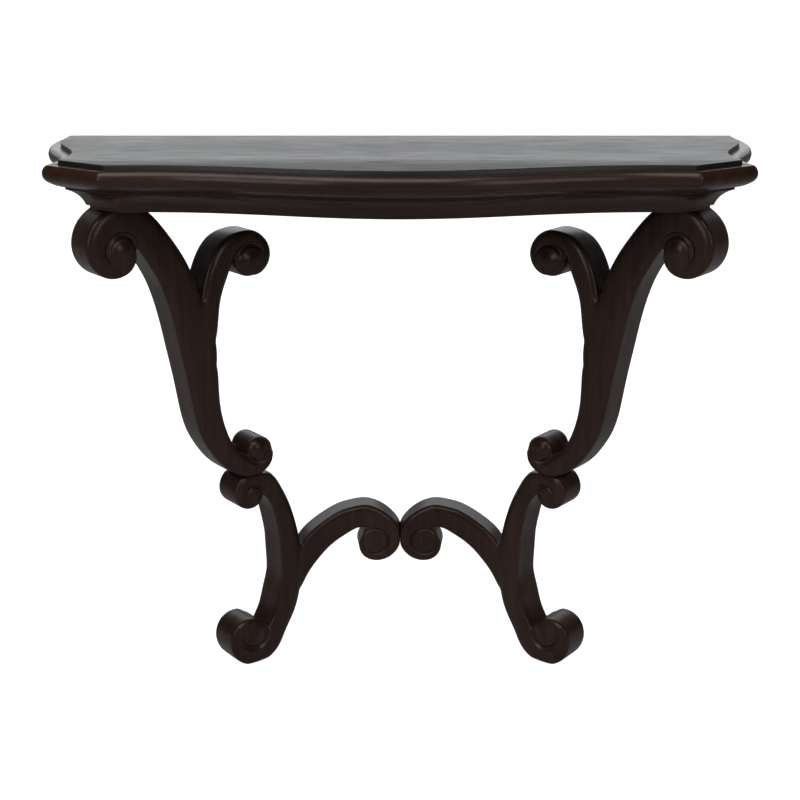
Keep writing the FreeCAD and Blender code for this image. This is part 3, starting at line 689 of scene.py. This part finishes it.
@dataclass
class Mouldings:
    """The rounded lip and the cove apron, each run along the plan and mitred at the cants."""

    plan: TopPlan = field(default_factory=TopPlan)
    shelf: float = 0.786
    nose_height: float = 0.021
    shelf_width: float = 0.013
    lip_reach: float = 0.018
    toe_height: float = 0.0295
    toe_inset: float = 0.006
    lip_bottom: float = 0.754
    ledge_width: float = 0.020
    ledge: float = 0.773
    apron_bottom: float = 0.727
    apron_inset: float = 0.052
    fillet_inset: float = -0.0008
    cove_depth: float = 0.0225
    cove_sag: float = 0.004
    bead_inset: float = 0.004
    bead_height: float = 0.005
    eased: float = 0.0007
    lead: float = 0.060
    nose_steps: int = 14
    under_steps: int = 8
    under_sag: float = -0.0012
    cove_steps: int = 14
    ease_angle: float = 38.0
    shade_angle: float = 40.0
    wear_passes: int = 2
    wear_gain: float = 0.0004
    wear_least: float = 0.5

    def lip_profile(self) -> list[tuple[float, float]]:
        """Outline of the lip: outward from the panel's edge, and height."""
        nose = self._arc(
            (self.shelf_width, self.shelf), (self.lip_reach, self.shelf - self.nose_height / 2),
            (self.shelf_width, self.shelf - self.nose_height), self.nose_steps)
        toe = (-self.toe_inset, self.shelf - self.toe_height)
        under = self._sagged(nose[-1], toe, self.under_sag, self.under_steps)
        rest = [(toe[0], self.lip_bottom), (-self.ledge_width, self.lip_bottom), (-self.ledge_width, self.ledge),
                (0.0, self.ledge), (0.0, self.shelf)]
        return nose + under[1:] + rest

    def apron_profile(self) -> list[tuple[float, float]]:
        """Outline of the apron: outward from the panel's edge, and height."""
        head = (-self.toe_inset - self.fillet_inset, self.lip_bottom)
        foot = (head[0] - self.cove_depth, self.apron_bottom + self.bead_height)
        cove = self._sagged(head, foot, self.cove_sag, self.cove_steps)
        bead = foot[0] - self.bead_inset
        rest = [(bead, foot[1]), (bead, self.apron_bottom), (-self.apron_inset, self.apron_bottom),
                (-self.apron_inset, self.lip_bottom)]
        return cove + rest

    @staticmethod
    def _arc(start: tuple[float, float], middle: tuple[float, float], end: tuple[float, float],
             count: int) -> list[tuple[float, float]]:
        """Points of a bow whose middle lies beside its chord's middle.

        Args:
            start: Its upper end.
            middle: Its farthest point.
            end: Its lower end.
            count: How many steps it has.

        Returns:
            The points from start to end.
        """
        reach = middle[0] - (start[0] + end[0]) / 2
        half = (start[1] - end[1]) / 2
        radius = (half**2 + reach**2) / (2 * reach)
        centre = (middle[0] - radius, middle[1])
        spread = math.asin(min(1.0, half / radius))
        angles = [spread * (1 - 2 * i / count) for i in range(count + 1)]
        return [(centre[0] + radius * math.cos(a), centre[1] + radius * math.sin(a)) for a in angles]

    @staticmethod
    def _sagged(start: tuple[float, float], end: tuple[float, float], sag: float,
                count: int) -> list[tuple[float, float]]:
        """Points of a shallow hollow between two ends.

        Args:
            start: Its upper end.
            end: Its lower end.
            sag: How far its middle is pushed in.
            count: How many steps it has.

        Returns:
            The points from start to end.
        """
        run = Vector((end[0] - start[0], end[1] - start[1]))
        normal = Vector((run.y, -run.x)).normalized()
        points = []
        for i in range(count + 1):
            share = i / count
            spot = Vector(start) + run * share + normal * sag * 4 * share * (1 - share)
            points.append((spot.x, spot.y))
        return points

    def run(self, name: str, path: list[Vector], profile: list[tuple[float, float]]) -> bpy.types.Object:
        """Sweeps a profile along an edge with both ends running on.

        Args:
            name: The piece's name.
            path: The panel's edge.
            profile: The section.

        Returns:
            The piece as a mesh.
        """
        lead_in = path[0] + (path[0] - path[1]).normalized() * self.lead
        lead_out = path[-1] + (path[-1] - path[-2]).normalized() * self.lead
        section = Bench.line("section", [Vector((x, z, 0.0)) for x, z in profile], True)
        rail = Bench.line(name, [lead_in, *path, lead_out], False)
        rail.data.dimensions = "3D"
        rail.data.twist_mode = "Z_UP"
        rail.data.bevel_mode = "OBJECT"
        rail.data.bevel_object = section
        rail.data.use_fill_caps = True
        Bench.take(rail)
        bpy.ops.object.convert(target="MESH")
        piece = bpy.context.object
        bpy.data.objects.remove(section)
        Bench.edit(piece)
        bpy.ops.mesh.remove_doubles(threshold=SWEEP_MERGE)
        bpy.ops.mesh.normals_make_consistent(inside=False)
        bpy.ops.object.mode_set(mode="OBJECT")
        return piece

    @staticmethod
    def _inward(path: list[Vector], at_end: bool) -> Vector:
        """The inward normal at one end of an edge that runs from the wall round the front."""
        run = path[-1] - path[-2] if at_end else path[1] - path[0]
        return Vector((-run.y, run.x, 0.0)).normalized()

    def _mitre(self, before: list[Vector], after: list[Vector]) -> Vector:
        """The direction across the moulding along the cut between two edges."""
        return (self._inward(before, True) + self._inward(after, False)).normalized()

    def _saw(self, piece: bpy.types.Object, point: Vector, cut: Vector, away: Vector) -> None:
        """Cuts a piece upright along a mitre and drops the end that lies away."""
        normal = Vector((-cut.y, cut.x, 0.0))
        Bench.part_off(piece, point, normal if normal.dot(away) > 0 else -normal)

    def build(self) -> None:
        """Runs, mitres, eases and dresses all lengths of the lip and the apron."""
        side, cant, front = self.plan.side_edge(), self.plan.cant_edge(), self.plan.front_edge()
        side_mitre = self._mitre(side, cant)
        front_mitre = self._mitre(cant, front)
        twin_mitre = Vector((-front_mitre.x, front_mitre.y, 0.0))
        for prefix, profile in (("lip", self.lip_profile()), ("apron", self.apron_profile())):
            flank = self.run(f"{prefix}_side_left_run", side, profile)
            self._saw(flank, side[0], Vector((1, 0, 0)), side[0] - side[1])
            self._saw(flank, side[-1], side_mitre, side[-1] - side[-2])
            corner = self.run(f"{prefix}_cant_left_run", cant, profile)
            self._saw(corner, cant[0], side_mitre, cant[0] - cant[1])
            self._saw(corner, cant[1], front_mitre, cant[1] - cant[0])
            face = self.run(f"{prefix}_front_run", front, profile)
            self._saw(face, front[0], front_mitre, front[0] - front[1])
            self._saw(face, front[-1], twin_mitre, front[-1] - front[-2])
            self._dress(face, f"{prefix}_front", Grain.ALONG_WALL)
            for piece, place, grains in (
                    (flank, "side", {Side.LEFT: Grain.TO_WALL, Side.RIGHT: Grain.TO_WALL}),
                    (corner, "cant", {Side.LEFT: Grain.CANT_LEFT, Side.RIGHT: Grain.CANT_RIGHT})):
                twin = Bench.mirror_of(piece, f"{prefix}_{place}_right_run")
                self._dress(piece, f"{prefix}_{place}_left", grains[Side.LEFT])
                self._dress(twin, f"{prefix}_{place}_right", grains[Side.RIGHT])

    def _dress(self, piece: bpy.types.Object, node: str, grain: Grain) -> None:
        """Eases one length's edges and gives it the stain.

        Args:
            piece: The length.
            node: The CAD node it replaces.
            grain: Which way its grain runs.
        """
        Bench.apply(piece, "BEVEL", width=self.eased, segments=2, limit_method="ANGLE",
                    angle_limit=math.radians(self.ease_angle), use_clamp_overlap=True)
        Bench.smooth(piece, self.shade_angle)
        Bench.mark_edges(piece, self.wear_passes, self.wear_gain, self.wear_least)
        Bench.hand_over(piece, STAINED.material(grain), Slot.STAINED, node)


@dataclass
class TopBoard:
    """The raised panel with its face veneer."""

    plan: TopPlan = field(default_factory=TopPlan)
    underside: float = 0.773
    veneer_bottom: float = 0.791
    top: float = 0.792
    veneer_round: float = 0.0004
    core_round: float = 0.0003

    def slab(self, name: str, bottom: float, top: float, rounding: float) -> bpy.types.Object:
        """A board of the panel's outline with rounded edges.

        Args:
            name: The piece's name.
            bottom: Its underside.
            top: Its upper face.
            rounding: Radius of its edges.

        Returns:
            The piece as a mesh.
        """
        board = Bench.line(name, self.plan.outline(), True)
        board.data.dimensions = "2D"
        board.data.fill_mode = "BOTH"
        board.data.extrude = (top - bottom) / 2 - rounding
        board.data.bevel_depth = rounding
        board.data.bevel_resolution = 2
        board.data.offset = -rounding
        Bench.take(board)
        bpy.ops.object.convert(target="MESH")
        piece = bpy.context.object
        Bench.edit(piece)
        bpy.ops.mesh.remove_doubles(threshold=SWEEP_MERGE)
        bpy.ops.transform.translate(value=(0.0, 0.0, (top + bottom) / 2))
        bpy.ops.mesh.normals_make_consistent(inside=False)
        bpy.ops.object.mode_set(mode="OBJECT")
        Bench.smooth(piece, 30.0)
        return piece

    def build(self) -> None:
        """Makes and dresses the core and the veneer."""
        core = self.slab("panel_core_board", self.underside, self.veneer_bottom, self.core_round)
        Bench.hand_over(core, CORE.material(Grain.ALONG_WALL), Slot.CORE, "top_panel")
        face = self.slab("panel_face_veneer", self.veneer_bottom, self.top, self.veneer_round)
        Bench.hand_over(face, VENEER.material(Grain.ALONG_WALL), Slot.VENEER, "top_veneer")


@dataclass(frozen=True)
class Eye:
    """A scroll's eye: a domed boss with a groove part of the way round it."""

    along: float
    up: float
    boss: float
    proud: float
    ring: float
    start: float
    sweep: float
    gouge: float


@dataclass(frozen=True)
class Face:
    """The front face of a scroll: a place on it, its direction along, and its direction into the wood."""

    origin: Vector
    along: Vector
    into: Vector

    def spot(self, along: float, up: float, deep: float = 0.0) -> Vector:
        """A point from its distances along the face, up from the floor and into the wood."""
        return self.origin + self.along * along + self.into * deep + Vector((0.0, 0.0, up))


@dataclass
class ScrollWork:
    """Legs with their branches, and feet with their stretchers: carved, fused at the glue lines and sanded."""

    leg_base: tuple[float, float] = (-0.23186, 0.05109)
    leg_turn: float = 38.2
    ring_turn: float = -4.376
    ring_eye: tuple[float, float] = (-0.0382, 0.1358)
    stretcher_turn: float = 14.0
    crest: Eye = Eye(-0.1700, 0.6690, 0.0195, 0.0040, 0.0215, -5.0, 235.0, 0.0052)
    branch: Eye = Eye(0.0285, 0.6321, 0.0200, 0.0040, 0.0225, 215.0, -205.0, 0.0052)
    knee: Eye = Eye(0.0325, 0.3475, 0.0175, 0.0045, 0.0195, 125.0, 175.0, 0.0050)
    hip: Eye = Eye(0.0215, 0.2800, 0.0095, 0.0020, 0.0115, -10.0, 205.0, 0.0038)
    foot: Eye = Eye(0.0145, 0.0520, 0.0210, 0.0035, 0.0230, 10.0, -200.0, 0.0048)
    ring: Eye = Eye(0.0, 0.1735, 0.0, 0.0, 0.0205, 0.0, 360.0, 0.0022)
    boss_depth: float = 0.012
    throat_spot: tuple[float, float, float] = (-0.0408, 0.5060, 0.0240)
    throat_half: tuple[float, float, float] = (0.0100, 0.0225, 0.0340)
    voxel: float = 0.0015
    pillowing: int = 120
    rounding: int = 6
    sanding: int = 3
    wear_passes: int = 4
    wear_gain: float = 0.0016
    groove_steps: int = 40
    groove_taper: float = 3.0
    groove_tip: float = 0.25

    def leg_face(self) -> Face:
        """The left leg's front face."""
        turn = math.radians(self.leg_turn)
        return Face(
            Vector((*self.leg_base, 0.0)), Vector((math.cos(turn), math.sin(turn), 0.0)),
            Vector((-math.sin(turn), math.cos(turn), 0.0)))

    def ring_face(self) -> Face:
        """The left stretcher's front face at its eye."""
        turn = math.radians(self.ring_turn)
        return Face(
            Vector((*self.ring_eye, 0.0)), Vector((math.cos(turn), -math.sin(turn), 0.0)),
            Vector((math.sin(turn), math.cos(turn), 0.0)))

    def boss(self, face: Face, eye: Eye) -> bpy.types.Object:
        """A flattened ball set into the face at an eye.

        Args:
            face: The scroll's face.
            eye: The eye.

        Returns:
            The ball.
        """
        Bench.clear()
        bpy.ops.mesh.primitive_uv_sphere_add(segments=48, ring_count=24, radius=1.0)
        ball = bpy.context.object
        Bench.edit(ball)
        bpy.ops.transform.resize(value=(eye.boss, self.boss_depth, eye.boss))
        turn = math.atan2(face.along.y, face.along.x)
        bpy.ops.transform.rotate(value=-turn, orient_axis="Z", center_override=ORIGIN)
        bpy.ops.transform.translate(value=face.spot(eye.along, eye.up, self.boss_depth - eye.proud))
        bpy.ops.object.mode_set(mode="OBJECT")
        return ball

    def throat(self) -> bpy.types.Object:
        """A flat oval where the branch runs out into the leg, which fills the notch between them.

        Returns:
            The oval.
        """
        face = self.leg_face()
        Bench.clear()
        bpy.ops.mesh.primitive_cylinder_add(vertices=64, radius=1.0, depth=2.0)
        oval = bpy.context.object
        Bench.edit(oval)
        bpy.ops.transform.rotate(value=math.pi / 2, orient_axis="X", center_override=ORIGIN)
        bpy.ops.transform.resize(value=self.throat_half, center_override=ORIGIN)
        bpy.ops.transform.rotate(
            value=-math.radians(self.leg_turn), orient_axis="Z", center_override=ORIGIN)
        bpy.ops.transform.translate(value=face.spot(*self.throat_spot))
        bpy.ops.object.mode_set(mode="OBJECT")
        return oval

    def gouge(self, name: str, face: Face, eye: Eye) -> bpy.types.Object:
        """A round bar bent along the groove of an eye, thinner at its end.

        Args:
            name: The bar's name.
            face: The scroll's face.
            eye: The eye.

        Returns:
            The bar as a mesh.
        """
        spots = []
        for i in range(self.groove_steps + 1):
            angle = math.radians(eye.start + eye.sweep * i / self.groove_steps)
            spots.append(face.spot(eye.along + eye.ring * math.cos(angle), eye.up + eye.ring * math.sin(angle)))
        closed = abs(eye.sweep) >= 360.0
        bar = Bench.line(name, spots[:-1] if closed else spots, closed)
        bar.data.dimensions = "3D"
        bar.data.bevel_depth = eye.gouge
        bar.data.bevel_resolution = 4
        bar.data.use_fill_caps = True
        if not closed:
            for i, point in enumerate(bar.data.splines[0].points):
                point.radius = min(1.0, self.groove_taper * (1 - i / self.groove_steps) + self.groove_tip)
        Bench.take(bar)
        bpy.ops.object.convert(target="MESH")
        return bpy.context.object

    def fuse(self, piece: bpy.types.Object, others: list[bpy.types.Object]) -> None:
        """Joins other pieces to a piece under one skin.

        Args:
            piece: The piece.
            others: What is joined to it.
        """
        Bench.take(piece)
        for other in others:
            other.select_set(True)
        bpy.ops.object.join()
        Bench.apply(piece, "REMESH", mode="VOXEL", voxel_size=self.voxel, adaptivity=0.0)

    def pillow(self, piece: bpy.types.Object, turn: float) -> None:
        """Rounds a blank's front and back across their width and keeps its outline.

        Args:
            piece: The blank.
            turn: How far its front is turned about Z, in degrees.
        """
        self.fuse(piece, [])
        self.spin(piece, -turn)
        Bench.apply(piece, "SMOOTH", factor=0.5, iterations=self.pillowing, use_x=False, use_z=False)
        self.spin(piece, turn)

    @staticmethod
    def spin(piece: bpy.types.Object, turn: float) -> None:
        """Turns a piece's mesh about Z.

        Args:
            piece: The piece.
            turn: Degrees.
        """
        Bench.edit(piece)
        bpy.ops.transform.rotate(value=-math.radians(turn), orient_axis="Z", center_override=ORIGIN)
        bpy.ops.object.mode_set(mode="OBJECT")

    def carve(self, name: str, nodes: tuple[str, str], arm_turn: float,
              cuts: tuple[tuple[Face, Eye], ...]) -> bpy.types.Object:
        """Rounds and fuses a scroll and its arm, sets the bosses, gouges the grooves and sands the piece.

        Args:
            name: The new piece's name.
            nodes: The CAD nodes of the scroll and of its arm.
            arm_turn: How far the arm's front is turned about Z, in degrees.
            cuts: The eyes, each with the face it lies on.

        Returns:
            The piece.
        """
        piece = Bench.copy_of(nodes[0], name)
        arm = Bench.copy_of(nodes[1], f"{nodes[1]}_blank")
        if arm_turn == self.leg_turn:
            self.fuse(piece, [arm, self.throat()])
            self.pillow(piece, self.leg_turn)
        else:
            self.pillow(piece, self.leg_turn)
            self.pillow(arm, arm_turn)
            self.fuse(piece, [arm])
        Bench.apply(piece, "SMOOTH", factor=0.5, iterations=self.rounding)
        self.fuse(piece, [self.boss(face, eye) for face, eye in cuts if eye.boss > 0])
        for number, (face, eye) in enumerate(cuts):
            bar = self.gouge(f"gouge_{number}", face, eye)
            Bench.apply(piece, "BOOLEAN", operation="DIFFERENCE", object=bar, solver="EXACT")
            bpy.data.objects.remove(bar)
        Bench.apply(piece, "SMOOTH", factor=0.5, iterations=self.sanding)
        Bench.take(piece)
        bpy.ops.object.shade_smooth()
        Bench.mark_edges(piece, self.wear_passes, self.wear_gain)
        return piece

    def build(self) -> None:
        """Carves the left-hand pieces, mirrors them and dresses both sides."""
        leg, ring = self.leg_face(), self.ring_face()
        upper = self.carve(
            "carved_upper_left", ("upper_scroll_left", "branch_scroll_left"), self.leg_turn,
            ((leg, self.crest), (leg, self.branch), (leg, self.knee)))
        lower = self.carve(
            "carved_lower_left", ("lower_scroll_left", "stretcher_left"), self.stretcher_turn,
            ((leg, self.hip), (leg, self.foot), (ring, self.ring)))
        for piece, parts in ((upper, ("upper_scroll", "branch_scroll")), (lower, ("lower_scroll", "stretcher"))):
            twin = Bench.mirror_of(piece, piece.name.replace("left", "right"))
            for each, side in ((piece, Side.LEFT), (twin, Side.RIGHT)):
                wood = STAINED.material(Grain.UPRIGHT, -side.value * self.leg_turn)
                Bench.hand_over(each, wood, Slot.STAINED, *[f"{part}_{side.word}" for part in parts])


@dataclass
class Framework:
    """Rail, blocks and fasteners under the top."""

    eased: float = 0.0012
    fine: float = 0.0004

    def build(self) -> None:
        """Eases the blocks and the rail, and dresses the fasteners."""
        along = RAIL.material(Grain.ALONG_WALL)
        to_wall = RAIL.material(Grain.TO_WALL)
        for node, material in (
                ("back_rail", along), ("corner_block_left", to_wall), ("corner_block_right", to_wall),
                ("back_block_left", along), ("back_block_right", along)):
            piece = Bench.copy_of(node, f"eased_{node}")
            Bench.ease_edges(piece, self.eased)
            Bench.hand_over(piece, material, Slot.FRAME, node)
        steel = STEEL.material()
        for node in ("bolt_nuts", "bolt_washers", "hanger_bolts", "panel_screws"):
            piece = Bench.copy_of(node, f"plated_{node}")
            Bench.ease_edges(piece, self.fine)
            Bench.hand_over(piece, steel, Slot.STEEL, node)
        glides = Bench.copy_of("foot_glides", "soft_foot_glides")
        Bench.ease_edges(glides, self.fine)
        Bench.hand_over(glides, GLIDE.material(), Slot.GLIDE, "foot_glides")
        upright = DOWEL.material(Grain.UPRIGHT)
        flat = DOWEL.material(Grain.ALONG_WALL)
        for node, material in (
                ("leg_dowels", upright), ("branch_dowels", flat), ("stretcher_dowels", flat), ("centre_dowel", flat)):
            self.dress(node, material, Slot.DOWEL)

    @staticmethod
    def dress(node: str, material: bpy.types.Material, slot: Slot) -> None:
        """Gives a CAD node its material.

        Args:
            node: The CAD node.
            material: Its material.
            slot: The record's slot; not used.
        """
        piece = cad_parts[node]
        piece.data.materials.clear()
        piece.data.materials.append(material)
        log.info("%s: dressed", node)


@dataclass(frozen=True)
class Softbox:
    """A rectangular soft light."""

    name: str
    place: tuple[float, float, float]
    aim: tuple[float, float, float]
    size: tuple[float, float]
    power: float
    colour: tuple[float, float, float] = (1.0, 1.0, 1.0)

    def hang(self) -> None:
        """Hangs the light and points it at its aim."""
        Bench.clear()
        bpy.ops.object.light_add(type="AREA", location=self.place)
        lamp = bpy.context.object
        lamp.name = self.name
        lamp.data.shape = "RECTANGLE"
        lamp.data.size, lamp.data.size_y = self.size
        lamp.data.energy = self.power
        lamp.data.color = self.colour
        lamp.rotation_euler = (Vector(self.aim) - Vector(self.place)).to_track_quat("-Z", "Y").to_euler()


@dataclass
class Studio:
    """Floor, backdrop, lights and camera."""

    camera_place: tuple[float, float, float] = (0.0, -1.8751, 1.0363)
    camera_pitch: float = 17.45
    lens: float = 63.0
    floor_half: float = 9.0
    backdrop: float = 4.0
    backdrop_height: float = 7.0
    bend: float = 1.6
    near: float = 0.01
    room_strength: float = 0.05
    lights: tuple[Softbox, ...] = (
        Softbox("overhead_light", (-0.3, -1.3, 2.5), (0.0, 0.0, 0.45), (2.4, 1.3), 43.0),
        Softbox("front_light_left", (-1.6, -2.2, 1.3), (0.0, 0.0, 0.45), (0.9, 1.4), 13.0),
        Softbox("front_light_right", (1.6, -2.2, 1.3), (0.0, 0.0, 0.45), (0.9, 1.4), 11.0),
        Softbox("sheen_light", (0.0, 3.0, 1.64), (0.0, 0.0, 0.79), (6.0, 1.4), 38.0, (0.95, 0.98, 1.0)))

    def floor(self) -> None:
        """A pale sweep of paper: floor, rounded bend and back wall."""
        Bench.clear()
        bpy.ops.mesh.primitive_plane_add(size=2.0)
        paper = bpy.context.object
        paper.name = "studio_floor"
        Bench.edit(paper)
        bpy.ops.transform.resize(value=(self.floor_half, self.floor_half, 1.0))
        bpy.ops.transform.translate(value=(0.0, self.backdrop - self.floor_half, 0.0))
        bpy.ops.mesh.select_mode(type="EDGE")
        bpy.ops.object.mode_set(mode="OBJECT")
        for edge in paper.data.edges:
            edge.select = all(paper.data.vertices[i].co.y > self.backdrop - self.near for i in edge.vertices)
        for vertex in paper.data.vertices:
            vertex.select = vertex.co.y > self.backdrop - self.near
        for face in paper.data.polygons:
            face.select = False
        bpy.ops.object.mode_set(mode="EDIT")
        bpy.ops.mesh.extrude_region_move(TRANSFORM_OT_translate={"value": (0.0, 0.0, self.backdrop_height)})
        bpy.ops.object.mode_set(mode="OBJECT")
        for edge in paper.data.edges:
            ends = [paper.data.vertices[i].co for i in edge.vertices]
            edge.select = all(abs(p.y - self.backdrop) < self.near and abs(p.z) < self.near for p in ends)
        Bench.take(paper)
        bpy.ops.object.mode_set(mode="EDIT")
        bpy.ops.mesh.bevel(offset=self.bend, segments=16, affect="EDGES")
        bpy.ops.object.mode_set(mode="OBJECT")
        bpy.ops.object.shade_smooth()
        paper.data.materials.append(PAPER.material())
        flagged = bpy.data.collections.new("paper_glow_reach")
        flagged.objects.link(paper)
        paper.light_linking.receiver_collection = flagged

    def room_light(self) -> None:
        """Even dim light from all round."""
        world = bpy.data.worlds.new("studio_room")
        bpy.context.scene.world = world
        world.use_nodes = True
        shade = world.node_tree.nodes["Background"]
        shade.inputs["Color"].default_value = (1.0, 1.0, 1.0, 1.0)
        shade.inputs["Strength"].default_value = self.room_strength

    def camera(self) -> None:
        """The photograph's viewpoint."""
        Bench.clear()
        bpy.ops.object.camera_add(
            location=self.camera_place, rotation=(math.radians(90.0 - self.camera_pitch), 0.0, 0.0))
        eye = bpy.context.object
        eye.name = "photo_camera"
        eye.data.sensor_width = 36.0
        eye.data.lens = self.lens
        eye.data.dof.use_dof = False
        bpy.context.scene.camera = eye

    def build(self) -> None:
        """Sets up the studio."""
        bpy.context.scene.view_settings.view_transform = "Standard"
        self.floor()
        self.room_light()
        for light in self.lights:
            light.hang()
        self.camera()


def main() -> None:
    """Builds and dresses the table, then the studio."""
    logging.basicConfig(level=logging.INFO, format="%(name)s %(message)s")
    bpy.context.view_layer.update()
    Mouldings().build()
    TopBoard().build()
    ScrollWork().build()
    Framework().build()
    Studio().build()


if __name__ == "__main__":
    main()
